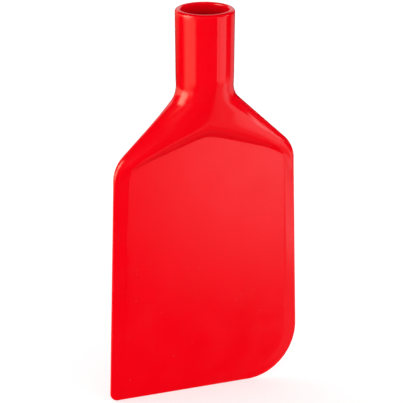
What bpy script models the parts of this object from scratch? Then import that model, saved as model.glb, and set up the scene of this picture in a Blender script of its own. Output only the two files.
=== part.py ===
"""Paddle scraper head: one injection moulding with a round blind socket for a handle,
sloping shoulders that stand proud of the blade, and a flat blade that thins to its working edge.

The mouth of the socket is centred on the origin, its axis is +Z, and the blade hangs below it.
The front is -Y, and the back mirrors it. The lower corner at -X is nearly square, for the corners
of a bin, and the one at +X is widely rounded, for bowls.
"""

import math

import bmesh
import bpy
import numpy as np

# Driving dimensions, in metres
SOCKET_LENGTH = 0.0395
SOCKET_RADIUS = 0.0165
SOCKET_DRAFT = 0.0005
SOCKET_WALL = 0.0032
RIM_ROUND = 0.0013
BORE_DRAFT = 0.0003
BORE_CORNER = 0.002
BORE_CHAMFER = 0.0004
BORE_OVERRUN = 0.0005

NECK_DROP = 0.0084
NECK_ROUND = 0.013
SHOULDER_HEIGHT = 0.0445
SHOULDER_HALF_WIDTH = 0.055
SHOULDER_ROUND = 0.019

BLADE_HEIGHT = 0.136
BLADE_FLARE = 0.003
SQUARE_CORNER = 0.0045
ROUND_CORNER = 0.030
BLADE_HALF_THICKNESS = 0.0039
EDGE_ROUND = 0.0009
BEVEL_WIDTH = 0.0072

FOOT_APEX_DROP = 0.033
FOOT_CORNER_DROP = 0.0025
RIB_PROUD = 0.0004
FOOT_BLEND = 0.0016
SLOPE_BLEND = 0.0006
NOSE_BLEND = 0.020
APEX_ROUND = 0.005

# How finely the curves are divided
QUARTER_COLUMNS = 28
EDGE_COLUMNS = 5
BEVEL_COLUMNS = 3
RIM_STEPS = 4
SLOPE_STEPS = 4
NECK_STEPS = 7
SHOULDER_STEPS = 16
SHOULDER_ARC_STEPS = 6
SIDE_STEPS = 4
SQUARE_STEPS = 6
ROUND_STEPS = 14
BORE_SIDES = 56
BORE_CORNER_STEPS = 4

# Levels and sizes that follow from them
SOCKET_END = -SOCKET_LENGTH
SOCKET_END_RADIUS = SOCKET_RADIUS - SOCKET_DRAFT
NECK_LEVEL = SOCKET_END - NECK_DROP
SHOULDER_LEVEL = SOCKET_END - SHOULDER_HEIGHT
BOTTOM_LEVEL = SHOULDER_LEVEL - BLADE_HEIGHT
BLADE_HALF_WIDTH = SHOULDER_HALF_WIDTH + BLADE_FLARE
FOOT_APEX = SOCKET_END - FOOT_APEX_DROP
FOOT_CORNER = SHOULDER_LEVEL - FOOT_CORNER_DROP
BORE_RADIUS = SOCKET_RADIUS - SOCKET_WALL
BORE_DEPTH = SOCKET_LENGTH + BORE_OVERRUN
BORDER_COLUMNS = EDGE_COLUMNS + BEVEL_COLUMNS
COLUMN_TURN = 0.5 * math.pi / QUARTER_COLUMNS
SHARP_ANGLE = math.radians(30.0)
WELD = 1e-7

RED = (0.80, 0.004, 0.008, 1.0)
GLOSS = 0.22


class Arc:
    """The arc that rounds one corner of the outline, in the XZ plane."""

    def __init__(self, before, corner, after, radius):
        to_before = unit(np.subtract(before, corner))
        to_after = unit(np.subtract(after, corner))
        half_angle = 0.5 * math.acos(to_before @ to_after)
        middle = unit(to_before + to_after)
        self.radius = radius
        self.bulge = -middle
        self.half_sweep = 0.5 * math.pi - half_angle
        self.centre = corner + middle * (radius / math.sin(half_angle))
        self.start = corner + to_before * (radius / math.tan(half_angle))
        self.end = corner + to_after * (radius / math.tan(half_angle))

    def points(self, steps, first=0.0, last=1.0):
        """Points from one share of the arc to another, both included."""
        sweep = 2.0 * self.half_sweep
        found = []
        for share in np.linspace(first, last, steps + 1):
            from_start = (self.start - self.centre) * math.sin((1.0 - share) * sweep)
            from_end = (self.end - self.centre) * math.sin(share * sweep)
            found.append(self.centre + (from_start + from_end) / math.sin(sweep))
        return found

    def inset(self, point):
        """How far inside the arc a point lies, or None outside the arc's wedge."""
        offset = point - self.centre
        reach = np.linalg.norm(offset)
        if reach == 0.0 or offset @ self.bulge < reach * math.cos(self.half_sweep):
            return None
        return self.radius - reach


def unit(vector):
    return vector / np.linalg.norm(vector)


def line_inset(start, end, point):
    """Distance from a line to a point on its left, seen from the front with X to the right."""
    along = unit(np.subtract(end, start))
    offset = np.subtract(point, start)
    return along[0] * offset[1] - along[1] * offset[0]


def smooth_min(a, b, reach):
    """The lesser of two numbers, rounded where they differ by less than the reach."""
    if reach <= 0.0:
        return min(a, b)
    return min(a, b) - max(reach - abs(a - b), 0.0) ** 2 / (4.0 * reach)


def smooth_max(a, b, reach):
    return -smooth_min(-a, -b, reach)


class Side:
    """The outline of one side, from the socket's mouth to the middle of the working edge.

    It is worked out for x >= 0; the -X side is its mirror image with another lower corner.
    """

    def __init__(self, corner_round, corner_steps):
        mouth = (SOCKET_RADIUS, 0.0)
        neck = (SOCKET_END_RADIUS, NECK_LEVEL)
        shoulder = (SHOULDER_HALF_WIDTH, SHOULDER_LEVEL)
        corner = (BLADE_HALF_WIDTH, BOTTOM_LEVEL)
        middle = (0.0, BOTTOM_LEVEL)
        self.neck = Arc(mouth, neck, shoulder, NECK_ROUND)
        self.shoulder = Arc(neck, shoulder, corner, SHOULDER_ROUND)
        self.corner = Arc(shoulder, corner, middle, corner_round)
        self.corner_steps = corner_steps
        self.lines = ((shoulder, neck), (corner, shoulder), (middle, corner))

    def half_width(self, z):
        """The outline's x at a level."""
        for arc in (self.neck, self.shoulder, self.corner):
            if arc.end[1] <= z <= arc.start[1]:
                across = math.sqrt(max(arc.radius**2 - (z - arc.centre[1]) ** 2, 0.0))
                return arc.centre[0] + math.copysign(across, arc.bulge[0])
        stops = (
            (SOCKET_RADIUS, 0.0),
            self.neck.start,
            self.neck.end,
            self.shoulder.start,
            self.shoulder.end,
            self.corner.start,
        )
        levels = [-stop[1] for stop in stops]
        return float(np.interp(-z, levels, [stop[0] for stop in stops]))

    def inset(self, point):
        """How far a point lies inside the blade's outline, with the socket left out."""
        for arc in (self.shoulder, self.corner):
            found = arc.inset(point)
            if found is not None:
                return max(found, 0.0)
        return max(min(line_inset(start, end, point) for start, end in self.lines), 0.0)

    def inward(self, point):
        """The direction square to the outline, towards the blade, at a point on it."""
        if point[1] >= self.neck.start[1]:
            return np.array([-1.0, 0.0])
        if point[1] >= self.neck.end[1]:
            return unit(point - self.neck.centre)
        for arc in (self.shoulder, self.corner):
            if arc.end[1] <= point[1] <= arc.start[1] and arc.inset(point) is not None:
                return unit(arc.centre - point)
        start, end = min(self.lines, key=lambda line: abs(line_inset(*line, point)))
        along = unit(np.subtract(end, start))
        return np.array([-along[1], along[0]])


RIGHT = Side(ROUND_CORNER, ROUND_STEPS)
LEFT = Side(SQUARE_CORNER, SQUARE_STEPS)


def blade_face(z):
    """Half the blade's thickness between the bevels: it thins evenly to the working edge."""
    share = (z - BOTTOM_LEVEL) / BLADE_HEIGHT
    return EDGE_ROUND + (BLADE_HALF_THICKNESS - EDGE_ROUND) * share


def bevel_angle(z):
    """The bevel's tilt, which makes it touch the edge's round and reach the face at its width."""
    across = BEVEL_WIDTH - EDGE_ROUND
    face = blade_face(z)
    span = math.hypot(face, across)
    return math.acos(min(EDGE_ROUND / span, 1.0)) - math.atan2(across, face)


def blade_height(side, point):
    """Half the thickness of the bevelled blade at a point of the XZ plane."""
    inset = side.inset(point)
    face = blade_face(point[1])
    if inset >= BEVEL_WIDTH:
        return face
    tilt = bevel_angle(point[1])
    if inset < EDGE_ROUND * (1.0 - math.sin(tilt)):
        return math.sqrt(max(EDGE_ROUND**2 - (EDGE_ROUND - inset) ** 2, 0.0))
    return min((EDGE_ROUND + (inset - EDGE_ROUND) * math.sin(tilt)) / math.cos(tilt), face)


def crest(z):
    """The height of the shoulders' crest, from the socket's radius down to just over the blade."""
    tube = SOCKET_RADIUS - SOCKET_DRAFT * -z / SOCKET_LENGTH
    if z > 0.5 * SOCKET_END:
        return tube
    low = BLADE_HALF_THICKNESS + RIB_PROUD
    slope = (SOCKET_END_RADIUS - low) / SHOULDER_HEIGHT
    return smooth_min(tube, SOCKET_END_RADIUS - slope * (SOCKET_END - z), SLOPE_BLEND)


def foot_x(z):
    """Where the shoulders' foot crosses a level; it runs from the apex out to the side."""
    rise = (FOOT_APEX - FOOT_CORNER) / (SHOULDER_HALF_WIDTH - BEVEL_WIDTH)
    return (FOOT_APEX - z) / rise


def shoulder_height(side, point):
    """Half the thickness of the socket and shoulders.

    Each level is half an ellipse from the outline to the far side: the other outline on the
    socket, the foot on the shoulders. The nose between the two shoulders is rounded over.
    """
    x, z = abs(point[0]), point[1]
    width = side.half_width(z)
    far = smooth_max(foot_x(z), -width, NOSE_BLEND) if z < SOCKET_END else -width
    if far >= width:
        return 0.0
    spread = np.clip((far + width) / width, 0.0, 1.0)
    ease = APEX_ROUND * spread
    if ease > 0.0:
        x = width * (math.hypot(x, ease) - ease) / (math.hypot(width, ease) - ease)
    across = (2.0 * x - far - width) / (width - far)
    full = math.sqrt(max(1.0 - across**2, 0.0))
    run = (SHOULDER_HALF_WIDTH - SOCKET_END_RADIUS) / (NECK_LEVEL - SHOULDER_LEVEL)
    tilted = 1.0 + (1.0 / math.hypot(1.0, run) - 1.0) * spread
    return min(crest(z), 0.5 * (width - far) * tilted) * full


def height(side, point):
    """Half the moulding's thickness, with a fillet where the shoulders meet the blade."""
    shoulder = shoulder_height(side, point)
    blade = blade_height(side, point)
    return smooth_max(shoulder, blade, min(FOOT_BLEND, 0.5 * max(shoulder, blade)))


def insets(side, stop, share):
    """Distances from the outline of the columns that follow it, from a round to a bevelled edge."""
    tilt = bevel_angle(stop[1])
    step = (0.5 * math.pi - tilt) / EDGE_COLUMNS
    edge = [EDGE_ROUND * (1.0 - math.cos(step * column)) for column in range(EDGE_COLUMNS + 1)]
    bevel = np.linspace(edge[-1], BEVEL_WIDTH, BEVEL_COLUMNS + 1)[1:]
    found = []
    for column, flat in enumerate((*edge, *bevel)):
        tube = side.half_width(stop[1]) * (1.0 - math.cos(COLUMN_TURN * column))
        found.append((1.0 - share) * tube + share * flat)
    return found


def half_row(side, stop, middle_level, share):
    """One half row of the loft, from the outline to the middle line, as (x, z) points."""
    inward = side.inward(stop)
    row = [stop + inward * inset for inset in insets(side, stop, share)]
    crease = row[-1]
    ease = APEX_ROUND / crease[0] * share
    for column in range(BORDER_COLUMNS + 1, QUARTER_COLUMNS + 1):
        tube = math.cos(COLUMN_TURN * column) / math.cos(COLUMN_TURN * BORDER_COLUMNS)
        flat = (QUARTER_COLUMNS - column) / (QUARTER_COLUMNS - BORDER_COLUMNS)
        part = (1.0 - share) * tube + share * flat
        drop = (math.hypot(part, ease) - ease) / (math.hypot(1.0, ease) - ease)
        level = middle_level + (crease[1] - middle_level) * drop
        row.append(np.array([crease[0] * part, level]))
    return row


def surface_point(side, point, mirror=False):
    """A point of the front surface over a point of the XZ plane."""
    across = -point[0] if mirror else point[0]
    return (across, -height(side, point), point[1])


def loft_row(stop, middle_level, share):
    """A row of the front surface, from the -X outline to the +X outline."""
    half = half_row(RIGHT, stop, middle_level, share)
    left = [surface_point(RIGHT, point, mirror=True) for point in half[:-1]]
    return left + [surface_point(RIGHT, point) for point in reversed(half)]


def foot_share():
    """The share of the shoulder's arc whose bevel meets the corner of the foot."""
    arc = RIGHT.shoulder
    reach = arc.radius - BEVEL_WIDTH
    rise = math.asin(max(min((FOOT_CORNER - arc.centre[1]) / reach, 0.99), -0.99))
    start = math.atan2(arc.start[1] - arc.centre[1], arc.start[0] - arc.centre[0])
    return (start - rise) / (2.0 * arc.half_sweep)


def loft_rows():
    """The front's rows from the end of the socket's straight part down to the shoulders' foot."""
    stops = []
    for level in np.linspace(SOCKET_END + RIM_ROUND, RIGHT.neck.start[1], SLOPE_STEPS + 1):
        stops.append(np.array([RIGHT.half_width(level), level]))
    stops += RIGHT.neck.points(NECK_STEPS)[1:]
    for share in np.linspace(0.0, 1.0, SHOULDER_STEPS + 1)[1:]:
        stops.append(RIGHT.neck.end + (RIGHT.shoulder.start - RIGHT.neck.end) * share)
    stops += RIGHT.shoulder.points(SHOULDER_ARC_STEPS, 0.0, foot_share())[1:]
    top, foot = stops[0][1], stops[-1][1]
    rows = []
    for stop in stops:
        share = (top - stop[1]) / (top - foot)
        rows.append(loft_row(stop, top + (FOOT_APEX - top) * share, share))
    return rows


def rim_rows():
    """The front's rows round the outer edge of the socket's mouth."""
    rows = []
    for step in range(RIM_STEPS + 1):
        angle = 0.5 * math.pi * step / RIM_STEPS
        radius = SOCKET_RADIUS - RIM_ROUND * (1.0 - math.sin(angle))
        level = -RIM_ROUND * (1.0 - math.cos(angle))
        turns = [COLUMN_TURN * column for column in range(2 * QUARTER_COLUMNS + 1)]
        rows.append([(-radius * math.cos(a), -radius * math.sin(a), level) for a in turns])
    return rows


def crease_point(side, stop):
    """Where the bevel that starts at a point of the outline ends; a tight corner has one point."""
    arc = side.corner
    if arc.radius < BEVEL_WIDTH and stop[1] <= arc.start[1]:
        shift = (BEVEL_WIDTH - arc.radius) / math.cos(arc.half_sweep)
        return arc.centre - arc.bulge * shift
    return stop + side.inward(stop) * BEVEL_WIDTH


def border_rows(side, mirror):
    """Rows across the bevel, one for each stop of the outline from the foot to the working edge."""
    stops = side.shoulder.points(SHOULDER_ARC_STEPS, foot_share(), 1.0)
    for share in np.linspace(0.0, 1.0, SIDE_STEPS + 1)[1:-1]:
        stops.append(side.shoulder.end + (side.corner.start - side.shoulder.end) * share)
    stops += side.corner.points(side.corner_steps)
    rows = []
    for stop in stops:
        inward = crease_point(side, stop) - stop
        shares = [inset / BEVEL_WIDTH for inset in insets(side, stop, 1.0)]
        rows.append([surface_point(side, stop + inward * share, mirror) for share in shares])
    return rows


class Skin:
    """A mesh under construction, in which points at one place share a vertex."""

    def __init__(self):
        self.mesh = bmesh.new()
        self.known = {}

    def vertex(self, point):
        key = tuple(round(value / WELD) for value in point)
        if key not in self.known:
            self.known[key] = self.mesh.verts.new(point)
        return self.known[key]

    def face(self, points):
        """A face through the points; points that fall together are taken once."""
        corners = list(dict.fromkeys(self.vertex(point) for point in points))
        if len(corners) > 2:
            self.mesh.faces.new(corners)

    def both_faces(self, points):
        """A face of the front and its mirror image on the back."""
        self.face(points)
        self.face([(x, -y, z) for x, y, z in reversed(points)])

    def bridge(self, rows):
        """Faces between each row and the next one, on the front and on the back."""
        for upper, lower in zip(rows, rows[1:]):
            for i in range(len(upper) - 1):
                self.both_faces([upper[i], lower[i], lower[i + 1], upper[i + 1]])


def moulding_mesh():
    """The moulding's outer skin: rim, socket, shoulders, bevels and the two flat faces."""
    skin = Skin()
    upper = rim_rows() + loft_rows()
    skin.bridge(upper)
    mouth = upper[0]
    skin.face(mouth + [(x, -y, z) for x, y, z in mouth[-2:0:-1]])

    left = border_rows(LEFT, mirror=True)
    right = border_rows(RIGHT, mirror=False)
    border = left + right[::-1]
    skin.bridge(border)
    foot = upper[-1][BORDER_COLUMNS:-BORDER_COLUMNS]
    skin.both_faces([row[-1] for row in border] + foot[::-1])
    bmesh.ops.recalc_face_normals(skin.mesh, faces=skin.mesh.faces)
    mesh = bpy.data.meshes.new("paddle_moulding")
    skin.mesh.to_mesh(mesh)
    skin.mesh.free()
    return mesh


def bore_profile():
    """The blind bore's profile as (radius, z): chamfered mouth, drafted wall and rounded floor."""
    floor_radius = BORE_RADIUS - BORE_DRAFT
    profile = [(0.0, -BORE_DEPTH)]
    for step in range(BORE_CORNER_STEPS + 1):
        angle = 0.5 * math.pi * step / BORE_CORNER_STEPS
        radius = floor_radius - BORE_CORNER * (1.0 - math.sin(angle))
        profile.append((radius, -BORE_DEPTH + BORE_CORNER * (1.0 - math.cos(angle))))
    profile.append((BORE_RADIUS, -BORE_CHAMFER))
    profile.append((BORE_RADIUS + 2.0 * BORE_CHAMFER, BORE_CHAMFER))
    profile.append((0.0, BORE_CHAMFER))
    return profile


def bore_cutter():
    """The solid that the bore takes away, turned about the socket's axis."""
    work = bmesh.new()
    profile = [work.verts.new((radius, 0.0, level)) for radius, level in bore_profile()]
    edges = [work.edges.new(pair) for pair in zip(profile, profile[1:])]
    bmesh.ops.spin(
        work,
        geom=profile + edges,
        cent=(0.0, 0.0, 0.0),
        axis=(0.0, 0.0, 1.0),
        angle=2.0 * math.pi,
        steps=BORE_SIDES,
    )
    bmesh.ops.remove_doubles(work, verts=work.verts, dist=WELD)
    bmesh.ops.recalc_face_normals(work, faces=work.faces)
    mesh = bpy.data.meshes.new("bore_cutter")
    work.to_mesh(mesh)
    work.free()
    cutter = bpy.data.objects.new("bore_cutter", mesh)
    cutter.hide_render = True
    cutter.display_type = "WIRE"
    return cutter


def red_plastic():
    material = bpy.data.materials.new("red_plastic")
    material.use_nodes = True
    shader = material.node_tree.nodes["Principled BSDF"]
    shader.inputs["Base Color"].default_value = RED
    shader.inputs["Roughness"].default_value = GLOSS
    shader.inputs["Metallic"].default_value = 0.0
    material.diffuse_color = RED
    return material


def main():
    for old in list(bpy.data.objects):
        bpy.data.objects.remove(old, do_unlink=True)
    moulding = bpy.data.objects.new("paddle_moulding", moulding_mesh())
    moulding.data.materials.append(red_plastic())
    cutter = bore_cutter()
    for item in (moulding, cutter):
        bpy.context.scene.collection.objects.link(item)
    bore = moulding.modifiers.new("bore", "BOOLEAN")
    bore.operation = "DIFFERENCE"
    bore.solver = "EXACT"
    bore.object = cutter
    moulding.data.shade_smooth()
    moulding.data.set_sharp_from_angle(angle=SHARP_ANGLE)


main()
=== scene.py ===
"""Paddle scraper head in glossy red plastic, on a pale floor in soft studio light.

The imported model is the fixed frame, in metres: the origin is the centre of the socket's mouth, +Z
is the socket's axis and -Y is the front of the blade. One finely divided moulding stands for the
CAD solid. It has the solid's sizes, apart from rounder edges at the mouth, a larger fillet along
the shoulders' foot and softer outer ends of that foot, and it adds the handle's thread inside the
socket.
"""

from __future__ import annotations

import logging
import math
from dataclasses import dataclass, field
from enum import Enum

import bmesh
import bpy
import numpy as np
from mathutils import Matrix, Vector

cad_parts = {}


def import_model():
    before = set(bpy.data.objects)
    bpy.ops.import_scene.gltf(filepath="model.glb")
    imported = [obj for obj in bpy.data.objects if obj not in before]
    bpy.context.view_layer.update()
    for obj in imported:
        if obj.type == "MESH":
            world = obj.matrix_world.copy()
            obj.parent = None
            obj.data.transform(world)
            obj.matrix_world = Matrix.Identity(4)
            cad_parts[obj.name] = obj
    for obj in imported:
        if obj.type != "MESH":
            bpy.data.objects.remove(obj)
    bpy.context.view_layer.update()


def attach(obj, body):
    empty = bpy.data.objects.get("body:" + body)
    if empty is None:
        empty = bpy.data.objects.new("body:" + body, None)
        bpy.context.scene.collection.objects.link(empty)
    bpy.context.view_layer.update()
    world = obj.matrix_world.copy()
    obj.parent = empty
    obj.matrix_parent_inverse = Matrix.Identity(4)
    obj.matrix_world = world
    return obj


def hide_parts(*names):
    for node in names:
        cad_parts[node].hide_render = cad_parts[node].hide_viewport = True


Array = np.ndarray
Pair = tuple[float, float]
Colour = tuple[float, float, float, float]
Signal = bpy.types.NodeSocket

LOG = logging.getLogger("paddle_scraper")
NODE = "paddle_moulding"
BODY = "root"
TINY = 1e-12
WELD = 2e-7
SHARP_ANGLE = math.radians(38.0)
QUARTER_TURN = 0.5 * math.pi
TO_LEFT = np.array((-1.0, 1.0))
TO_BACK = np.array((1.0, -1.0, 1.0))
WHITE: Colour = (1.0, 1.0, 1.0, 1.0)
WARM: Colour = (1.0, 1.0, 0.70, 1.0)


def unit(vector: Array) -> Array:
    """Return the vector at length one."""
    return vector / np.linalg.norm(vector)


def smooth_min(a: Array, b: Array, reach: Array | float) -> Array:
    """Return the lesser of two fields, rounded where they nearly meet.

    The lesser value is lowered by (reach - |a - b|) squared over four times the reach.

    Args:
        a: The first field.
        b: The second field.
        reach: The difference within which the two are blended.

    Returns:
        The blended field.
    """
    reach = np.maximum(reach, TINY)
    overlap = np.maximum(reach - np.abs(a - b), 0.0)
    return np.minimum(a, b) - overlap**2 / (4.0 * reach)


def smooth_max(a: Array, b: Array, reach: Array | float) -> Array:
    """Return the greater of two fields, rounded where they nearly meet."""
    return -smooth_min(-a, -b, reach)


def smooth_step(share: Array) -> Array:
    """Return 3 s^2 - 2 s^3 of the share held between 0 and 1."""
    held = np.clip(share, 0.0, 1.0)
    return held * held * (3.0 - 2.0 * held)


def revolve(radius: Array, level: Array, turns: Array, inset: Array | float = 0.0) -> Array:
    """Return a profile turned about the Z axis, from -X by way of the front.

    A point is (-r cos t, -r sin t, z), with r less the inset.

    Args:
        radius: The profile's radius at each of its points.
        level: The profile's z at each of its points.
        turns: The angles, one for each column of the grid.
        inset: How far each point of the grid stands in towards the axis.

    Returns:
        The surface, one row for each point of the profile.
    """
    reach = radius[:, None] - inset
    across = -reach * np.cos(turns)
    deep = -reach * np.sin(turns)
    return np.stack((across, deep, np.broadcast_to(level[:, None], across.shape)), axis=-1)


@dataclass
class Fillet:
    """The arc that rounds one corner of the outline, in the XZ plane.

    Its centre lies on the corner's bisector at radius over the sine of half the corner's angle.
    """

    before: Array
    corner: Array
    after: Array
    radius: float
    hollow: bool = False
    centre: Array = field(init=False)
    start: Array = field(init=False)
    end: Array = field(init=False)
    bulge: Array = field(init=False)
    half_sweep: float = field(init=False)

    def __post_init__(self) -> None:
        """Work out the arc's centre, ends and sweep."""
        to_before = unit(self.before - self.corner)
        to_after = unit(self.after - self.corner)
        half_angle = 0.5 * math.acos(float(to_before @ to_after))
        middle = unit(to_before + to_after)
        along = self.radius / math.tan(half_angle)
        self.bulge = -middle
        self.half_sweep = QUARTER_TURN - half_angle
        self.centre = self.corner + middle * (self.radius / math.sin(half_angle))
        self.start = self.corner + to_before * along
        self.end = self.corner + to_after * along

    def walk(self, shares: Array) -> Walk:
        """Return the arc's points at these shares of its sweep.

        A point is the centre plus the two end radii weighted by sin((1 - s) sweep) / sin(sweep)
        and sin(s sweep) / sin(sweep).

        Args:
            shares: Places along the arc, from 0 at its start to 1 at its end.

        Returns:
            The arc's points, with the direction towards the blade at each.
        """
        sweep = 2.0 * self.half_sweep
        to_start = np.outer(np.sin((1.0 - shares) * sweep), self.start - self.centre)
        to_end = np.outer(np.sin(shares * sweep), self.end - self.centre)
        spokes = (to_start + to_end) / math.sin(sweep)
        inward = spokes / self.radius if self.hollow else -spokes / self.radius
        return Walk(self.centre + spokes, inward)

    def inset(self, points: Array) -> Array:
        """Return how far inside the arc points lie.

        Args:
            points: Points as (x, z).

        Returns:
            The radius less the distance from the centre, and infinity outside the arc's wedge.
        """
        offset = points - self.centre
        reach = np.linalg.norm(offset, axis=-1)
        inside = offset @ self.bulge >= reach * math.cos(self.half_sweep)
        return np.where(inside, self.radius - reach, np.inf)


@dataclass
class Walk:
    """Points along the outline and the direction square to it, towards the blade."""

    points: Array
    inward: Array

    @staticmethod
    def line(start: Array, end: Array, shares: Array) -> Walk:
        """Return points of a straight stretch.

        Args:
            start: Where the stretch starts, as (x, z).
            end: Where it ends.
            shares: Places along it, from 0 to 1.

        Returns:
            The stretch, with the blade on its right-hand side.
        """
        points = start + np.outer(shares, end - start)
        along = unit(end - start)
        return Walk(points, np.tile((along[1], -along[0]), (len(points), 1)))

    def then(self, other: Walk) -> Walk:
        """Return this walk with the next one joined on, less its shared first point."""
        points = np.concatenate((self.points, other.points[1:]))
        return Walk(points, np.concatenate((self.inward, other.inward[1:])))


@dataclass(frozen=True)
class Thread:
    """The coarse round thread inside the socket, a helical ridge that fades at both ends."""

    pitch: float = 0.0050
    ridge: float = 0.0011
    first: float = 0.0085
    last: float = 0.0365
    fade: float = 0.0030
    crest: float = 0.9
    fullness: float = 1.15

    def rise(self, turn: Array, level: Array) -> Array:
        """Return how far the ridge stands in from the wall.

        The ridge is a raised cosine of the turn plus the level over the pitch, made fuller and
        cut off at its crest, and a smooth step brings it up and down at the ends.

        Args:
            turn: The angle round the axis, in radians.
            level: The depth below the mouth, positive downwards.

        Returns:
            The ridge's height, in metres.
        """
        phase = turn + 2.0 * math.pi * level / self.pitch
        profile = smooth_step((np.cos(phase) + self.crest) / (1.0 + self.crest) * self.fullness)
        start = smooth_step((level - self.first) / self.fade)
        stop = smooth_step((self.last - level) / self.fade)
        return self.ridge * profile * start * stop


@dataclass(frozen=True)
class Socket:
    """The round tube that takes the handle: drafted outside, with a blind bore."""

    length: float = 0.0395
    radius: float = 0.0165
    draft: float = 0.0005
    wall: float = 0.0032
    rim_round: float = 0.0017
    bore_draft: float = 0.0003
    bore_corner: float = 0.0020
    bore_round: float = 0.0011
    bore_overrun: float = 0.0005
    thread: Thread = Thread()
    rim_rows: int = 8
    ring_rows: int = 4
    wall_rows: int = 84
    floor_rows: int = 8

    @property
    def end(self) -> float:
        """Return the level where the straight tube ends."""
        return -self.length

    @property
    def end_radius(self) -> float:
        """Return the tube's radius at that level."""
        return self.radius - self.draft

    def tube(self, z: Array) -> Array:
        """Return the drafted tube's radius at each level."""
        return self.radius + self.draft * z / self.length

    def rim(self, turns: Array) -> Array:
        """Return the rounding of the mouth's outer edge.

        The profile is a quarter circle from the flat ring to the tube, turned about the axis.

        Args:
            turns: The angles round the axis.

        Returns:
            The rounding, as a grid of points.
        """
        angle = np.linspace(0.0, QUARTER_TURN, self.rim_rows + 1)
        radius = self.radius - self.rim_round * (1.0 - np.sin(angle))
        level = -self.rim_round * (1.0 - np.cos(angle))
        return revolve(radius, level, turns)

    def bore(self, turns: Array) -> Array:
        """Return the ring, its inner round, the threaded wall and the floor.

        The round and the corner of the floor are quarter circles.

        Args:
            turns: The angles round the axis.

        Returns:
            The four surfaces, as one grid of points.
        """
        top = self.radius - self.wall
        low = top - self.bore_draft
        floor = -self.length - self.bore_overrun
        lip = top + self.bore_round
        ring = np.linspace(self.radius - self.rim_round, lip, self.ring_rows)
        turn = np.linspace(0.0, QUARTER_TURN, self.rim_rows + 1)[1:]
        wall = np.linspace(-self.bore_round, floor + self.bore_corner, self.wall_rows)[1:]
        taper = top - self.bore_draft * (wall / wall[-1])
        angle = np.linspace(0.0, QUARTER_TURN, self.floor_rows)[1:]
        corner_radius = low - self.bore_corner * (1.0 - np.cos(angle))
        corner_level = floor + self.bore_corner * (1.0 - np.sin(angle))
        disc = np.linspace(corner_radius[-1], 0.0, self.floor_rows)[1:]
        rounded = lip - self.bore_round * np.sin(turn)
        radius = np.concatenate((ring, rounded, taper, corner_radius, disc))
        sunk = -self.bore_round * (1.0 - np.cos(turn))
        flat = np.full_like(disc, floor)
        level = np.concatenate((np.zeros_like(ring), sunk, wall, corner_level, flat))
        first = len(ring) + len(sunk)
        on_wall = np.zeros_like(radius)
        on_wall[first : first + len(wall)] = 1.0
        ridge = self.thread.rise(turns[None, :], -level[:, None]) * on_wall[:, None]
        return revolve(radius, level, turns, ridge)


@dataclass(frozen=True)
class Blade:
    """The flat blade: it thins evenly to its working edge and is bevelled to a round edge."""

    height: float = 0.136
    flare: float = 0.003
    square_corner: float = 0.0045
    round_corner: float = 0.030
    half_thickness: float = 0.0039
    edge_round: float = 0.0009
    bevel_width: float = 0.0072
    bottom: float = -0.220

    def face(self, z: Array) -> Array:
        """Return half the thickness between the bevels, a straight line in the level."""
        share = (z - self.bottom) / self.height
        return self.edge_round + (self.half_thickness - self.edge_round) * share

    def tilt(self, z: Array) -> Array:
        """Return the bevel's tilt, which touches the edge's round and reaches the face.

        It is the arc cosine of the round over the slanted span, less the span's own angle.

        Args:
            z: The levels.

        Returns:
            The tilt at each level, in radians.
        """
        across = self.bevel_width - self.edge_round
        face = self.face(z)
        span = np.hypot(face, across)
        return np.arccos(np.minimum(self.edge_round / span, 1.0)) - np.arctan2(across, face)

    def profile(self, inset: Array, z: Array) -> Array:
        """Return half the thickness at a distance inside the outline.

        It is a circle's quarter by the edge, then the bevel's straight line, then the face.

        Args:
            inset: The distances inside the outline.
            z: The levels.

        Returns:
            Half the thickness at each point.
        """
        tilt = self.tilt(z)
        edge = self.edge_round
        rounded = np.sqrt(np.maximum(edge**2 - (edge - inset) ** 2, 0.0))
        bevel = (edge + (inset - edge) * np.sin(tilt)) / np.cos(tilt)
        on_edge = inset < edge * (1.0 - np.sin(tilt))
        return np.where(on_edge, rounded, np.minimum(bevel, self.face(z)))


@dataclass(frozen=True)
class Shoulders:
    """The two proud shoulders that run from the socket down to a foot shaped like a roof."""

    neck_drop: float = 0.0084
    neck_round: float = 0.013
    height: float = 0.0445
    half_width: float = 0.055
    corner_round: float = 0.019
    foot_apex_drop: float = 0.033
    foot_corner_drop: float = 0.0025
    rib_proud: float = 0.0004
    foot_blend: float = 0.0026
    slope_blend: float = 0.0006
    nose_blend: float = 0.020
    apex_round: float = 0.005
    corner_sweep: float = 0.018


class Lower(Enum):
    """Which lower corner of the blade an outline has."""

    SQUARE = "square"
    ROUND = "round"


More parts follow.
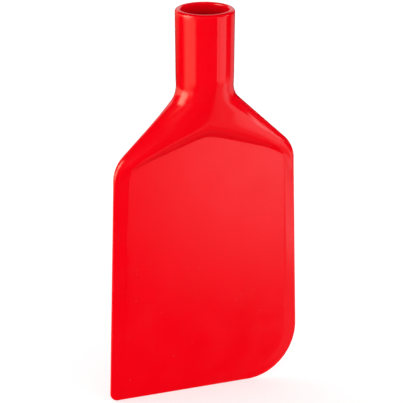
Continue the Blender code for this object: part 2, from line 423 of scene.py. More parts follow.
@dataclass
class Outline:
    """One side's outline for x >= 0, from the socket's mouth to the middle of the edge."""

    socket: Socket
    shoulders: Shoulders
    blade: Blade
    lower: Lower
    neck: Fillet = field(init=False)
    shoulder: Fillet = field(init=False)
    corner: Fillet = field(init=False)
    middle: Array = field(init=False)

    def __post_init__(self) -> None:
        """Set the corners of the outline and round them."""
        form, blade = self.shoulders, self.blade
        rounds = {Lower.SQUARE: blade.square_corner, Lower.ROUND: blade.round_corner}
        mouth = np.array((self.socket.radius, 0.0))
        neck = np.array((self.socket.end_radius, self.socket.end - form.neck_drop))
        shoulder = np.array((form.half_width, self.socket.end - form.height))
        corner = np.array((form.half_width + blade.flare, blade.bottom))
        self.middle = np.array((0.0, blade.bottom))
        self.neck = Fillet(mouth, neck, shoulder, form.neck_round, hollow=True)
        self.shoulder = Fillet(neck, shoulder, corner, form.corner_round)
        self.corner = Fillet(shoulder, corner, self.middle, rounds[self.lower])

    def half_width(self, z: Array) -> Array:
        """Return the outline's x at each level.

        It is straight between the arcs. On an arc it is the centre's x plus or minus the root of
        the radius squared less the drop squared.

        Args:
            z: The levels.

        Returns:
            The distance from the middle line at each level.
        """
        arcs = (self.neck, self.shoulder, self.corner)
        stops = [np.array((self.socket.radius, 0.0))]
        for arc in arcs:
            stops += [arc.start, arc.end]
        known = np.array(stops)
        width = np.interp(-z, -known[:, 1], known[:, 0])
        for arc in arcs:
            on_arc = (z <= arc.start[1]) & (z >= arc.end[1])
            across = np.sqrt(np.maximum(arc.radius**2 - (z - arc.centre[1]) ** 2, 0.0))
            side = math.copysign(1.0, arc.bulge[0])
            width = np.where(on_arc, arc.centre[0] + side * across, width)
        return width

    def inset(self, points: Array) -> Array:
        """Return the distance inside the blade's outline, with the socket left out.

        It is the least distance to a straight stretch, or to the arc where a point is in an
        arc's wedge.

        Args:
            points: Points as (x, z).

        Returns:
            The distance of each point, and 0 outside.
        """
        ends = (
            (self.neck.corner, self.shoulder.corner),
            (self.shoulder.corner, self.corner.corner),
            (self.corner.corner, self.middle),
        )
        nearest = np.full(points.shape[:-1], np.inf)
        for start, end in ends:
            along = unit(end - start)
            offset = points - start
            nearest = np.minimum(nearest, offset @ np.array((along[1], -along[0])))
        for arc in (self.shoulder, self.corner):
            found = arc.inset(points)
            nearest = np.where(np.isfinite(found), found, nearest)
        return np.maximum(nearest, 0.0)


@dataclass(frozen=True)
class Fineness:
    """How finely the moulding is divided."""

    quarter: int = 56
    edge: int = 8
    bevel: int = 6
    tube: int = 16
    neck: int = 22
    slope: int = 46
    arc_above: int = 34
    arc_below: int = 10
    side: int = 30
    bottom: int = 66
    square: int = 12
    half_round: int = 18

    @property
    def border(self) -> int:
        """Return the number of columns that follow the outline."""
        return self.edge + self.bevel


@dataclass
class Moulding:
    """The whole head in one piece: socket, shoulders and blade."""

    socket: Socket
    shoulders: Shoulders
    blade: Blade
    fine: Fineness
    right: Outline = field(init=False)
    left: Outline = field(init=False)

    def __post_init__(self) -> None:
        """Draw the two outlines."""
        self.right = Outline(self.socket, self.shoulders, self.blade, Lower.ROUND)
        self.left = Outline(self.socket, self.shoulders, self.blade, Lower.SQUARE)

    @property
    def foot_apex(self) -> float:
        """Return the level of the foot's apex, on the middle line."""
        return self.socket.end - self.shoulders.foot_apex_drop

    @property
    def foot_corner(self) -> float:
        """Return the level at which the foot meets the bevel."""
        return self.socket.end - self.shoulders.height - self.shoulders.foot_corner_drop

    def foot_x(self, z: Array) -> Array:
        """Return where the straight foot crosses each level."""
        run = self.shoulders.half_width - self.blade.bevel_width
        return (self.foot_apex - z) * run / (self.foot_apex - self.foot_corner)

    def crest(self, z: Array) -> Array:
        """Return the height of the shoulders' crest: the tube, then a straight slope.

        Args:
            z: The levels.

        Returns:
            The height above the middle plane at each level.
        """
        form = self.shoulders
        tube = self.socket.tube(z)
        low = self.blade.half_thickness + form.rib_proud
        fall = (self.socket.end_radius - low) / form.height
        slope = self.socket.end_radius - fall * (self.socket.end - z)
        blended = smooth_min(tube, slope, form.slope_blend)
        return np.where(z > 0.5 * self.socket.end, tube, blended)

    def shoulder_height(self, x: Array, z: Array) -> Array:
        """Return half the thickness of the socket and shoulders.

        Each level is half an ellipse from the outline to the far side: the other outline on the
        socket, the foot on the shoulders. Across the middle, |x| is rounded over, and so is the
        foot's start, which makes the nose between the two shoulders. By the outline the foot
        sweeps down into the bevel.

        Args:
            x: The distances from the middle line.
            z: The levels.

        Returns:
            Half the thickness at each point, and 0 past the foot.
        """
        form = self.shoulders
        width = self.right.half_width(z)
        foot = smooth_max(self.foot_x(z), -width, form.nose_blend)
        foot = smooth_min(foot, width - self.blade.bevel_width, form.corner_sweep)
        far = np.where(z < self.socket.end, foot, -width)
        reach = np.maximum(width - far, TINY)
        spread = np.clip((far + width) / width, 0.0, 1.0)
        ease = form.apex_round * spread
        softened = np.hypot(x, ease) - ease
        eased = width * softened / (np.hypot(width, ease) - ease)
        across = (2.0 * eased - far - width) / reach
        full = np.sqrt(np.maximum(1.0 - across**2, 0.0))
        run = (form.half_width - self.socket.end_radius) / (form.height - form.neck_drop)
        tilted = 1.0 + (1.0 / math.hypot(1.0, run) - 1.0) * spread
        rise = np.minimum(self.crest(z), 0.5 * reach * tilted) * full
        return np.maximum(rise, 0.0)

    def blade_height(self, x: Array, z: Array) -> Array:
        """Return half the thickness of the bevelled blade.

        Args:
            x: The distances from the middle line, below 0 on the square corner's side.
            z: The levels.

        Returns:
            Half the thickness at each point.
        """
        points = np.stack((np.abs(x), z), axis=-1)
        inset = np.where(x < 0.0, self.left.inset(points), self.right.inset(points))
        return self.blade.profile(inset, z)

    def height(self, x: Array, z: Array) -> Array:
        """Return half the moulding's thickness, with a fillet along the shoulders' foot.

        Args:
            x: The distances from the middle line.
            z: The levels.

        Returns:
            The smooth greater of the shoulders' height and the blade's.
        """
        shoulder = self.shoulder_height(x, z)
        blade = self.blade_height(x, z)
        reach = np.minimum(self.shoulders.foot_blend, 0.5 * np.maximum(shoulder, blade))
        return smooth_max(shoulder, blade, reach)

    def front(self, flat: Array) -> Array:
        """Return the front surface over a grid of (x, z) points."""
        x, z = flat[..., 0], flat[..., 1]
        return np.stack((x, -self.height(x, z), z), axis=-1)

    def insets(self, walk: Walk, share: Array) -> Array:
        """Return each stop's distances from the outline to the columns that follow it.

        On the tube they are r (1 - cos t). On the blade they follow the edge's round and then
        the bevel in even steps.

        Args:
            walk: The stops along the outline.
            share: For each stop, how far it has gone from the tube's columns to the blade's.

        Returns:
            The distances, one row for each stop.
        """
        fine, blade = self.fine, self.blade
        z = walk.points[:, 1]
        step = (QUARTER_TURN - blade.tilt(z)) / fine.edge
        edge = blade.edge_round * (1.0 - np.cos(step[:, None] * np.arange(fine.edge + 1)))
        along = np.arange(1, fine.bevel + 1) / fine.bevel
        last = edge[:, -1:]
        bevel = last + (blade.bevel_width - last) * along
        flat = np.concatenate((edge, bevel), axis=1)
        turn = QUARTER_TURN / fine.quarter * np.arange(fine.border + 1)
        tube = np.abs(walk.points[:, :1]) * (1.0 - np.cos(turn))
        return (1.0 - share[:, None]) * tube + share[:, None] * flat

    def foot_share(self) -> float:
        """Return the share of the shoulder's arc whose bevel meets the foot's corner.

        Returns:
            The arc's first angle, less that of the foot's corner, over the arc's sweep.
        """
        arc = self.right.shoulder
        reach = arc.radius - self.blade.bevel_width
        rise = math.asin((self.foot_corner - arc.centre[1]) / reach)
        first = math.atan2(*(arc.start - arc.centre)[::-1])
        return (first - rise) / (2.0 * arc.half_sweep)

    def loft(self) -> Array:
        """Return the front from under the rim down to the shoulders' foot.

        Rows start square to the outline. Below the socket they bend into a chevron, so that the
        last one lies on the foot.

        Returns:
            A grid of (x, z) points, from the left outline to the right one.
        """
        fine, side = self.fine, self.right
        level = np.linspace(-self.socket.rim_round, side.neck.start[1], fine.tube + 1)
        tube = np.column_stack((side.half_width(level), level))
        walk = Walk(tube, np.tile((-1.0, 0.0), (len(level), 1)))
        walk = walk.then(side.neck.walk(np.linspace(0.0, 1.0, fine.neck + 1)))
        steps = np.linspace(0.0, 1.0, fine.slope + 1)
        walk = walk.then(Walk.line(side.neck.end, side.shoulder.start, steps))
        arc = np.linspace(0.0, self.foot_share(), fine.arc_above + 1)
        walk = walk.then(side.shoulder.walk(arc))
        stops = walk.points
        top, foot = self.socket.end, stops[-1, 1]
        share = np.clip((top - stops[:, 1]) / (top - foot), 0.0, 1.0)
        bent = top + (self.foot_apex - top) * share
        middle = np.where(stops[:, 1] > top, stops[:, 1], bent)
        border = stops[:, None] + walk.inward[:, None] * self.insets(walk, share)[..., None]
        inner = self.inner_columns(border[:, -1], middle, share)
        half = np.concatenate((border, inner), axis=1)
        return np.concatenate((half[:, :-1] * TO_LEFT, half[:, ::-1]), axis=1)

    def inner_columns(self, crease: Array, middle: Array, share: Array) -> Array:
        """Return the columns between the crease and the middle line, which bend to a chevron.

        The level is the middle's plus the crease's drop times a softened |x| over the crease's.

        Args:
            crease: The last point that follows the outline, for each row.
            middle: Each row's level on the middle line.
            share: How far each row has gone from the tube's columns to the blade's.

        Returns:
            The columns as (x, z) points.
        """
        fine = self.fine
        column = np.arange(fine.border + 1, fine.quarter + 1)
        turn = QUARTER_TURN / fine.quarter
        tube = np.cos(turn * column) / math.cos(turn * fine.border)
        flat = (fine.quarter - column) / (fine.quarter - fine.border)
        part = (1.0 - share[:, None]) * tube + share[:, None] * flat
        ease = (self.shoulders.apex_round / crease[:, 0] * share)[:, None]
        drop = (np.hypot(part, ease) - ease) / (np.hypot(1.0, ease) - ease)
        level = middle[:, None] + (crease[:, 1] - middle)[:, None] * drop
        return np.stack((crease[:, :1] * part, level), axis=-1)

    def creases(self, walk: Walk, arc: Fillet, tight: bool) -> Array:
        """Return where the bevel ends behind each stop.

        Args:
            walk: The stops along the outline.
            arc: The lower corner's arc.
            tight: Whether the arc is tighter than the bevel, so that its stops share one point.

        Returns:
            The points as (x, z).
        """
        plain = walk.points + walk.inward * self.blade.bevel_width
        if not tight:
            return plain
        shift = (self.blade.bevel_width - arc.radius) / math.cos(arc.half_sweep)
        shared = arc.centre - arc.bulge * shift
        on_arc = walk.points[:, 1] <= arc.start[1]
        return np.where(on_arc[:, None], shared, plain)

    def strip(self, walk: Walk, creases: Array) -> Array:
        """Return the bevel from the outline to the creases.

        Args:
            walk: The stops along the outline.
            creases: Where the bevel ends behind each stop.

        Returns:
            A grid of (x, z) points.
        """
        share = self.insets(walk, np.ones(len(walk.points))) / self.blade.bevel_width
        across = creases - walk.points
        return walk.points[:, None] + across[:, None] * share[..., None]

    def side_walk(self, side: Outline, side_steps: int) -> Walk:
        """Return the outline from the foot to the start of the lower corner.

        Args:
            side: The outline to follow.
            side_steps: How many steps the straight side has.

        Returns:
            The walk along it.
        """
        steps = np.linspace(self.foot_share(), 1.0, self.fine.arc_below + 1)
        walk = side.shoulder.walk(steps)
        shares = np.linspace(0.0, 1.0, side_steps + 1)
        return walk.then(Walk.line(side.shoulder.end, side.corner.start, shares))

    def borders(self) -> tuple[list[Array], list[Array]]:
        """Return the bevels round the blade and the edges of the panel inside them.

        The panel's corners are the square corner's shared crease and the middle of the round
        corner's crease.

        Returns:
            The bevels' grids, and the panel's left, bottom and right edges.
        """
        fine, left, right = self.fine, self.left, self.right
        left_side = self.side_walk(left, fine.side + fine.half_round)
        square = left.corner.walk(np.linspace(0.0, 1.0, fine.square + 1))
        bottom_left = left_side.then(square)
        left_creases = self.creases(bottom_left, left.corner, tight=True)
        left_strip = self.strip(bottom_left, left_creases) * TO_LEFT

        shares = np.linspace(0.0, 1.0, fine.bottom + 1)
        low = Walk.line(left.corner.end * TO_LEFT, right.corner.end, shares)
        low = Walk(low.points, np.tile((0.0, 1.0), (len(shares), 1)))
        low_creases = self.creases(low, right.corner, tight=False)
        low_creases[0] = left_creases[-1] * TO_LEFT
        low_strip = self.strip(low, low_creases)

        round_walk = right.corner.walk(np.linspace(0.0, 1.0, 2 * fine.half_round + 1))
        right_side = self.side_walk(right, fine.side).then(round_walk)
        right_creases = self.creases(right_side, right.corner, tight=False)
        right_strip = self.strip(right_side, right_creases)

        left_edge = left_creases[: len(left_side.points)] * TO_LEFT
        split = len(right_side.points) - fine.half_round
        bottom_edge = np.concatenate((low_creases, right_creases[split - 1 : -1][::-1]))
        right_edge = right_creases[:split]
        return [left_strip, low_strip, right_strip], [left_edge, bottom_edge, right_edge]

    def panel(self, top: Array, left: Array, bottom: Array, right: Array) -> Array:
        """Return the flat face between its four edges.

        It is a Coons patch: the two ruled surfaces between facing edges, added, less the
        surface through the four corners.

        Args:
            top: The upper edge, from left to right.
            left: The left edge, downwards.
            bottom: The lower edge, from left to right.
            right: The right edge, downwards.

        Returns:
            A grid of (x, z) points.
        """
        u = np.linspace(0.0, 1.0, len(top))[None, :, None]
        v = np.linspace(0.0, 1.0, len(left))[:, None, None]
        across = (1.0 - u) * left[:, None] + u * right[:, None]
        down = (1.0 - v) * top[None] + v * bottom[None]
        corners = (1.0 - v) * ((1.0 - u) * top[0] + u * top[-1])
        corners = corners + v * ((1.0 - u) * bottom[0] + u * bottom[-1])
        return across + down - corners

    def build(self, name: str) -> bpy.types.Object:
        """Return the moulding as one closed object.

        Args:
            name: The object's name.

        Returns:
            The object, with its place in its mesh.
        """
        loft = self.loft()
        border = self.fine.border
        strips, edges = self.borders()
        panel = self.panel(loft[-1, border:-border], *edges)
        turns = QUARTER_TURN / self.fine.quarter * np.arange(4 * self.fine.quarter + 1)
        rounds = [self.socket.rim(turns), self.socket.bore(turns)]
        fronts = [self.front(grid) for grid in (loft, panel, *strips)]
        fronts[0][0] = rounds[0][-1, : loft.shape[1]]
        backs = [grid * TO_BACK for grid in fronts]
        return closed_object(name, fronts + backs + rounds)


def closed_object(name: str, grids: list[Array]) -> bpy.types.Object:
    """Return one smooth object of several grids, joined where their edges meet.

    Args:
        name: The object's name.
        grids: Arrays of points, rows by columns by three.

    Returns:
        The object, with its faces pointing outwards.
    """
    points = np.concatenate([grid.reshape(-1, 3) for grid in grids])
    quads, offset = [], 0
    for grid in grids:
        rows, columns = grid.shape[:2]
        index = offset + np.arange(rows * columns).reshape(rows, columns)
        corners = (index[:-1, :-1], index[1:, :-1], index[1:, 1:], index[:-1, 1:])
        quads.append(np.stack(corners, axis=-1).reshape(-1, 4))
        offset += rows * columns
    mesh = bpy.data.meshes.new(name)
    mesh.from_pydata(points.tolist(), [], np.concatenate(quads).tolist())
    work = bmesh.new()
    work.from_mesh(mesh)
    bmesh.ops.remove_doubles(work, verts=work.verts, dist=WELD)
    bmesh.ops.dissolve_degenerate(work, edges=work.edges, dist=WELD)
    bmesh.ops.recalc_face_normals(work, faces=work.faces)
    loose = sum(1 for edge in work.edges if len(edge.link_faces) != 2)
    LOG.info("%s: %d faces, %d open edges", name, len(work.faces), loose)
    work.to_mesh(mesh)
    work.free()
    mesh.shade_smooth()
    mesh.set_sharp_from_angle(angle=SHARP_ANGLE)
    piece = bpy.data.objects.new(name, mesh)
    bpy.context.scene.collection.objects.link(piece)
    return piece


class NodeBench:
    """Sets nodes into a material's or the world's tree and wires them."""

    def __init__(self, tree: bpy.types.NodeTree) -> None:
        """Start on an empty tree."""
        self.tree = tree
        tree.nodes.clear()

    def add(self, kind: str, settings: dict | None = None, **inputs: object) -> bpy.types.Node:
        """Return a new node with its settings and inputs set.

        Args:
            kind: The node's type name without its ShaderNode prefix.
            settings: Attributes of the node.
            inputs: A value or a socket for each input, named with _ for a space, or i0, i1 and
                so on for an input by its place.

        Returns:
            The node.
        """
        node = self.tree.nodes.new("ShaderNode" + kind)
        for key, value in (settings or {}).items():
            setattr(node, key, value)
        for key, value in inputs.items():
            by_place = key[0] == "i" and key[1:].isdigit()
            socket = node.inputs[int(key[1:]) if by_place else key.replace("_", " ")]
            if isinstance(value, Signal):
                self.tree.links.new(value, socket)
            else:
                socket.default_value = value
        return node

    def noise(self, place: Signal, grain: Grain) -> Signal:
        """Return one layer of noise."""
        layer = self.add("TexNoise", Vector=place, Scale=grain.scale, Detail=grain.detail)
        return layer.outputs["Fac"]

    def math(self, operation: str, *values: object) -> Signal:
        """Return the result of one math node."""
        inputs = {f"i{place}": value for place, value in enumerate(values)}
        return self.add("Math", {"operation": operation}, **inputs).outputs[0]

    def product(self, first: object, *others: object) -> object:
        """Return the product of several values.

        Args:
            first: The first value or socket.
            others: The values or sockets that it is multiplied by, in turn.

        Returns:
            The last node's result.
        """
        for other in others:
            first = self.math("MULTIPLY", first, other)
        return first

    def ramp(self, value: object, span: Pair, out: Pair) -> Signal:
        """Return a value carried smoothly from one range to another.

        Args:
            value: The value or socket.
            span: The range that it comes in.
            out: What the range's two ends become.

        Returns:
            The result, held between those two.
        """
        settings = {"interpolation_type": "SMOOTHSTEP"}
        limits = {"From_Min": span[0], "From_Max": span[1], "To_Min": out[0], "To_Max": out[1]}
        return self.add("MapRange", settings, Value=value, **limits).outputs["Result"]


@dataclass(frozen=True)
class Grain:
    """One layer of noise: its scale per metre, its detail and the part of its range in use."""

    scale: float
    detail: float
    span: Pair = (0.0, 1.0)


@dataclass(frozen=True)
class Specks:
    """Fine pale specks, most of them low on the blade, one to a cell of a few millimetres.

    The size gives the dot's core and rim as shares of a cell. A cell shows its speck when its
    random value is in the chosen range, and the higher the value, the stronger the speck.
    """

    colour: Colour = (0.85, 0.25, 0.22, 1.0)
    scale: float = 260.0
    size: Pair = (0.05, 0.13)
    chosen: Pair = (0.55, 1.0)
    share: float = 0.30
    share_above: float = 0.10
    worn_zone: Pair = (-0.170, -0.110)

    def over(self, bench: NodeBench, place: Signal, base: Signal) -> Signal:
        """Return a colour with the specks laid over it.

        Args:
            bench: Where the nodes go.
            place: The Object coordinates.
            base: The colour beneath.

        Returns:
            The specked colour.
        """
        cells = bench.add("TexVoronoi", Vector=place, Scale=self.scale)
        dot = bench.ramp(cells.outputs["Distance"], self.size, (1.0, 0.0))
        value = bench.add("SeparateColor", Color=cells.outputs["Color"]).outputs["Red"]
        strong = bench.ramp(value, self.chosen, (0.0, self.share))
        level = bench.add("SeparateXYZ", Vector=place).outputs["Z"]
        worn = bench.ramp(level, self.worn_zone, (1.0, self.share_above))
        shown = bench.product(dot, strong, worn)
        return bench.add("MixRGB", i0=shown, i1=base, i2=self.colour).outputs[0]


@dataclass(frozen=True)
class RedPlastic:
    """Glossy moulded plastic: even red, a faint orange peel, fine scuffs and pale specks, with
    shade painted into the bore.
    """

    slot: str = "red_plastic"
    body: Colour = (0.94, 0.0002, 0.007, 1.0)
    flow: Colour = (0.89, 0.0002, 0.005, 1.0)
    # The deep colour is painted shade: the red inside the bore is darkened towards it.
    deep: Colour = (0.38, 0.0002, 0.003, 1.0)
    flow_marks: Grain = Grain(26.0, 3.0, (0.35, 0.75))
    flow_share: float = 0.45
    specks: Specks = Specks()
    gloss: Pair = (0.075, 0.125)
    wear: Grain = Grain(70.0, 5.0, (0.3, 0.75))
    peel: Grain = Grain(420.0, 2.0)
    peel_depth: float = 0.000012
    scratch_stretch: tuple[float, float, float] = (60.0, 60.0, 1800.0)
    scratches: Grain = Grain(1.0, 2.0, (0.66, 0.74))
    scratch_depth: float = -0.15
    refraction: float = 1.49
    # The bore's radius, its floor and the level of full shade bound the painted shade in the bore.
    bore_radius: float = 0.0136
    bore_floor: float = -0.0402
    painted_shade_full_level: float = -0.012

    def material(self) -> bpy.types.Material:
        """Return the finish on Object coordinates.

        Returns:
            The material.
        """
        made = bpy.data.materials.new(self.slot)
        made.use_nodes = True
        made.diffuse_color = self.body
        bench = NodeBench(made.node_tree)
        place = bench.add("TexCoord").outputs["Object"]
        shader = bench.add(
            "BsdfPrincipled",
            Base_Color=self.colour(bench, place),
            Roughness=self.roughness(bench, place),
            Normal=self.relief(bench, place),
            IOR=self.refraction,
            Metallic=0.0,
        )
        bench.add("OutputMaterial", Surface=shader.outputs[0])
        return made

    def colour(self, bench: NodeBench, place: Signal) -> Signal:
        """Return the red, with its slow flow marks and its specks, and painted shade that darkens
        the bore.

        Args:
            bench: Where the nodes go.
            place: The Object coordinates.

        Returns:
            The base colour.
        """
        slow = bench.noise(place, self.flow_marks)
        share = bench.ramp(slow, self.flow_marks.span, (0.0, self.flow_share))
        red = bench.add("MixRGB", i0=share, i1=self.body, i2=self.flow).outputs[0]
        specked = self.specks.over(bench, place, red)
        # Painted shade: inside the bore the red is mixed towards the deep colour, darker with
        # depth.
        depth = self.depth(bench, place)
        return bench.add("MixRGB", i0=depth, i1=specked, i2=self.deep).outputs[0]

    def depth(self, bench: NodeBench, place: Signal) -> Signal:
        """Return where the bore's painted shade lies and how strong it is, rising with the depth.

        Args:
            bench: Where the nodes go.
            place: The Object coordinates.

        Returns:
            0 outside the bore, rising with the depth inside it to 1.
        """
        flat = bench.add("VectorMath", {"operation": "MULTIPLY"}, i0=place, i1=(1.0, 1.0, 0.0))
        reach = bench.add("VectorMath", {"operation": "LENGTH"}, i0=flat.outputs[0])
        inside = bench.math("LESS_THAN", reach.outputs["Value"], self.bore_radius)
        level = bench.add("SeparateXYZ", Vector=place).outputs["Z"]
        sunk = bench.ramp(level, (self.painted_shade_full_level, 0.0), (1.0, 0.0))
        above = bench.math("GREATER_THAN", level, self.bore_floor)
        return bench.product(inside, above, sunk)

    def roughness(self, bench: NodeBench, place: Signal) -> Signal:
        """Return the gloss, which handling dulls unevenly."""
        return bench.ramp(bench.noise(place, self.wear), self.wear.span, self.gloss)

    def relief(self, bench: NodeBench, place: Signal) -> Signal:
        """Return the orange peel and the fine scratches across the blade, as a normal.

        Args:
            bench: Where the nodes go.
            place: The Object coordinates.

        Returns:
            The bumped normal.
        """
        stretch = bench.add("Mapping", Vector=place, Scale=self.scratch_stretch).outputs[0]
        lines = bench.noise(stretch, self.scratches)
        scratch = bench.ramp(lines, self.scratches.span, (0.0, self.scratch_depth))
        depth = bench.math("ADD", bench.noise(place, self.peel), scratch)
        bump = bench.add("Bump", Height=depth, Distance=self.peel_depth, Strength=1.0)
        return bump.outputs[0]


@dataclass(frozen=True)
class Softbox:
    """A glowing card, part of a sphere round the object, with edges that fade.

    Azimuth is from the front (-Y) towards +X. The level runs from the low end to the high end,
    and the fades are of the left, right, low and high edges. All angles are in degrees.
    """

    name: str
    azimuth: Pair
    elevation: Pair
    level: Pair
    fades: tuple[float, float, float, float]
    distance: float = 4.0
    tint: Colour = WHITE
    steps: int = 24

    def build(self, centre: Array, gap: float) -> None:
        """Stage the card, which shows only in the gloss; the world gives the even light.

        A point is the centre plus the distance times (cos e sin a, -cos e cos a, sin e).

        Args:
            centre: The point that the card faces.
            gap: How far it stands behind its distance, so that no two cards coincide.
        """
        u = np.linspace(0.0, 1.0, self.steps + 1)
        across, up = np.meshgrid(u, u)
        turn = np.radians(self.azimuth[0] + (self.azimuth[1] - self.azimuth[0]) * across)
        rise = np.radians(self.elevation[0] + (self.elevation[1] - self.elevation[0]) * up)
        ray = (np.cos(rise) * np.sin(turn), -np.cos(rise) * np.cos(turn), np.sin(rise))
        points = (centre + (self.distance + gap) * np.stack(ray, axis=-1)).reshape(-1, 3)
        index = np.arange(points.shape[0]).reshape(across.shape)
        corners = (index[:-1, :-1], index[:-1, 1:], index[1:, 1:], index[1:, :-1])
        quads = np.stack(corners, axis=-1).reshape(-1, 4)
        mesh = bpy.data.meshes.new(self.name)
        mesh.from_pydata(points.tolist(), [], quads.tolist())
        share = np.stack((across, up), axis=-1).reshape(-1, 2)
        mesh.uv_layers.new(name="share").data.foreach_set("uv", share[quads.ravel()].ravel())
        mesh.materials.append(self.glow())
        card = bpy.data.objects.new(self.name, mesh)
        card.visible_camera = False
        card.visible_diffuse = False
        card.visible_shadow = False
        bpy.context.scene.collection.objects.link(card)

    def glow(self) -> bpy.types.Material:
        """Return the card's light: its level by height, less the fades at its four edges.

        The card is clear as well, so that the light of a card behind it is added.

        Returns:
            The card's material.
        """
        made = bpy.data.materials.new(self.name)
        made.use_nodes = True
        bench = NodeBench(made.node_tree)
        share = bench.add("UVMap", {"uv_map": "share"}).outputs["UV"]
        parts = bench.add("SeparateXYZ", Vector=share).outputs
        run = bench.math("MULTIPLY", parts["Y"], self.level[1] - self.level[0])
        strength = bench.math("ADD", run, self.level[0])
        spans = [high - low for low, high in (self.azimuth, self.elevation)]
        for place, fade in enumerate(self.fades):
            part, width = parts[place // 2], fade / spans[place // 2]
            inside = bench.math("SUBTRACT", 1.0, part) if place % 2 else part
            faded = bench.ramp(inside, (0.0, width), (0.0, 1.0))
            strength = bench.math("MULTIPLY", strength, faded)
        glow = bench.add("Emission", Color=self.tint, Strength=strength)
        clear = bench.add("BsdfTransparent")
        both = bench.add("AddShader", i0=glow.outputs[0], i1=clear.outputs[0])
        bench.add("OutputMaterial", Surface=both.outputs[0])
        return made


@dataclass(frozen=True)
class Floor:
    """The pale floor, lifted to white for the camera and hidden from the gloss."""

    level: float = -0.2203
    reach: float = 8.0
    colour: Colour = (0.80, 0.80, 0.80, 1.0)
    lift: float = 0.46

    def build(self) -> None:
        """Stage the floor, a square under the blade's working edge."""
        reach = self.reach
        corners = np.array(((-reach, -reach), (reach, -reach), (reach, reach), (-reach, reach)))
        points = np.column_stack((corners, np.full(len(corners), self.level)))
        mesh = bpy.data.meshes.new("floor")
        mesh.from_pydata(points.tolist(), [], [(0, 1, 2, 3)])
        mesh.materials.append(self.paint())
        floor = bpy.data.objects.new("floor", mesh)
        floor.visible_glossy = False
        bpy.context.scene.collection.objects.link(floor)

    def paint(self) -> bpy.types.Material:
        """Return the floor's matt paint, which glows a little for the camera alone.

        Returns:
            The material.
        """
        made = bpy.data.materials.new("pale_floor")
        made.use_nodes = True
        bench = NodeBench(made.node_tree)
        paint = bench.add("BsdfDiffuse", Color=self.colour)
        seen = bench.add("LightPath").outputs["Is Camera Ray"]
        lift = bench.add("Emission", Strength=bench.math("MULTIPLY", seen, self.lift))
        both = bench.add("AddShader", i0=paint.outputs[0], i1=lift.outputs[0])
        bench.add("OutputMaterial", Surface=both.outputs[0])
        return made


@dataclass(frozen=True)
class Sky:
    """The world: white to the camera and a soft fill to the rest, but not in the gloss.

    The fill falls from the horizon to the zenith, whose level it reaches at the high ray, and
    the side is how much it changes from the middle to +X.
    """

    horizon: float = 2.36
    zenith: float = 0.28
    high_ray: float = 0.9
    side: float = -0.20

    def build(self) -> None:
        """Make the world."""
        world = bpy.data.worlds.new("studio")
        world.use_nodes = True
        bench = NodeBench(world.node_tree)
        seen = bench.add("LightPath").outputs["Is Camera Ray"]
        above = bench.add("TexCoord").outputs["Generated"]
        parts = bench.add("SeparateXYZ", Vector=above).outputs
        fill = bench.ramp(parts["Z"], (0.0, self.high_ray), (self.horizon, self.zenith))
        fill = bench.math("ADD", fill, bench.math("MULTIPLY", parts["X"], self.side))
        level = bench.add("Mix", i0=seen, i2=fill, i3=1.0).outputs[0]
        sky = bench.add("Background", Color=WHITE, Strength=level)
        bench.add("OutputWorld", Surface=sky.outputs[0])
        bpy.context.scene.world = world
        world.cycles_visibility.glossy = False


@dataclass(frozen=True)
class Camera:
    """The camera, at the photograph's angle. Angles are in degrees and the lens in millimetres."""

    aim: tuple[float, float, float] = (-0.001844, 0.0, -0.110293)
    azimuth: float = -25.31
    elevation: float = 17.64
    roll: float = 0.097
    distance: float = 1.7973
    lens: float = 289.1
    sensor: float = 36.0
    near: float = 0.05
    far: float = 60.0

    def build(self) -> None:
        """Place the camera and make it the scene's own."""
        turn, rise = math.radians(self.azimuth), math.radians(self.elevation)
        level = math.cos(rise)
        back = Vector((math.sin(turn) * level, -math.cos(turn) * level, math.sin(rise)))
        lens = bpy.data.cameras.new("camera")
        lens.lens = self.lens
        lens.sensor_width = self.sensor
        lens.clip_start = self.near
        lens.clip_end = self.far
        camera = bpy.data.objects.new("camera", lens)
        facing = (-back).to_track_quat("-Z", "Y").to_matrix().to_4x4()
        rolled = Matrix.Rotation(math.radians(self.roll), 4, "Z")
        stand = Vector(self.aim) + back * self.distance
        camera.matrix_world = Matrix.Translation(stand) @ facing @ rolled
        bpy.context.scene.collection.objects.link(camera)
        bpy.context.scene.camera = camera


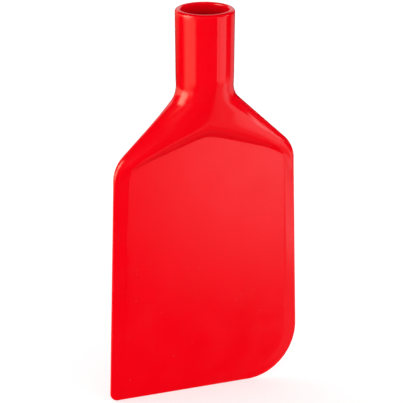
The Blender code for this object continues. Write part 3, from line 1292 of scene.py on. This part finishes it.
@dataclass(frozen=True)
class Studio:
    """The floor, the sky, the softboxes and the camera.

    The left softboxes are warm and light the socket and the neck. The right ones light the face,
    the right of the socket and the slope, and the low ones the foot. Near boxes light a small
    part of the object alone.
    """

    floor: Floor = Floor()
    sky: Sky = Sky()
    camera: Camera = Camera()
    softbox_gap: float = 0.004
    softboxes: tuple[Softbox, ...] = (
        Softbox(
            "left_key",
            azimuth=(-126.0, -66.0),
            elevation=(-14.0, 46.0),
            level=(3.2, 4.0),
            fades=(20.0, 22.0, 14.0, 14.0),
            tint=WARM,
        ),
        Softbox(
            "key_core",
            azimuth=(-118.0, -78.0),
            elevation=(-14.0, 46.0),
            level=(2.3, 2.3),
            fades=(12.0, 12.0, 8.0, 14.0),
            tint=WARM,
        ),
        Softbox(
            "key_edge",
            azimuth=(-88.0, -59.0),
            elevation=(14.0, 43.0),
            level=(1.9, 1.9),
            fades=(10.0, 9.0, 8.0, 12.0),
            tint=WARM,
        ),
        Softbox(
            "left_low",
            azimuth=(-152.0, -100.0),
            elevation=(-11.0, 11.0),
            level=(1.2, 1.2),
            fades=(14.0, 16.0, 5.0, 6.0),
            tint=WARM,
        ),
        Softbox(
            "left_wall",
            azimuth=(-122.0, -54.0),
            elevation=(-28.0, -2.0),
            level=(1.05, 1.05),
            fades=(26.0, 16.0, 10.0, 12.0),
            tint=WARM,
        ),
        Softbox(
            "left_back",
            azimuth=(-186.0, -136.0),
            elevation=(-16.0, 8.0),
            level=(0.4, 0.4),
            fades=(8.0, 14.0, 6.0, 6.0),
            tint=WARM,
        ),
        Softbox(
            "right_face",
            azimuth=(22.4, 34.0),
            elevation=(-23.2, 14.0),
            level=(1.08, 1.08),
            fades=(4.6, 6.0, 4.7, 4.0),
        ),
        Softbox(
            "right_wall",
            azimuth=(30.0, 67.0),
            elevation=(-24.0, 16.0),
            level=(0.95, 0.95),
            fades=(6.0, 5.0, 20.0, 5.0),
            distance=0.5,
        ),
        Softbox(
            "right_strip",
            azimuth=(55.0, 77.0),
            elevation=(5.5, 20.0),
            level=(1.8, 1.8),
            fades=(6.0, 6.0, 6.0, 4.0),
            distance=0.55,
        ),
        Softbox(
            "right_low",
            azimuth=(54.0, 84.0),
            elevation=(-32.0, -10.0),
            level=(0.55, 0.55),
            fades=(10.0, 8.0, 12.0, 5.0),
            distance=0.3,
        ),
        Softbox(
            "right_back",
            azimuth=(92.0, 134.0),
            elevation=(-26.0, -8.0),
            level=(0.32, 0.32),
            fades=(8.0, 12.0, 5.0, 5.0),
        ),
        Softbox(
            "low_glow",
            azimuth=(26.0, 110.0),
            elevation=(-50.0, -14.0),
            level=(0.16, 0.32),
            fades=(8.0, 15.0, 16.0, 6.0),
        ),
        Softbox(
            "floor_patch",
            azimuth=(25.0, 37.0),
            elevation=(-46.5, -36.2),
            level=(0.3, 0.3),
            fades=(4.0, 5.0, 4.0, 3.0),
            distance=0.4,
        ),
        Softbox(
            "under_glow",
            azimuth=(30.0, 130.0),
            elevation=(-80.0, -30.0),
            level=(0.08, 0.08),
            fades=(8.0, 15.0, 8.0, 8.0),
        ),
        Softbox(
            "backdrop",
            azimuth=(118.0, 202.0),
            elevation=(5.0, 36.0),
            level=(0.8, 0.8),
            fades=(6.0, 12.0, 6.0, 12.0),
        ),
    )

    def build(self) -> None:
        """Set up the floor, the light and the camera."""
        self.floor.build()
        self.sky.build()
        for place, box in enumerate(self.softboxes):
            box.build(np.array(self.camera.aim), place * self.softbox_gap)
        self.camera.build()
        LOG.info("studio: floor, sky, %d softboxes and camera", len(self.softboxes))


def main() -> None:
    """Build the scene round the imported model."""
    logging.basicConfig(level=logging.INFO, format="%(name)s: %(message)s")
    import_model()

    finish = RedPlastic()
    moulding = Moulding(Socket(), Shoulders(), Blade(), Fineness())
    piece = moulding.build("scraper_moulding")
    piece.data.materials.append(finish.material())
    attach(piece, BODY)
    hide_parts(NODE)
    LOG.info("scraper_moulding: %d points in %s", len(piece.data.vertices), finish.slot)

    Studio().build()
    bpy.context.scene.view_settings.view_transform = "Standard"


if __name__ == "__main__":
    main()
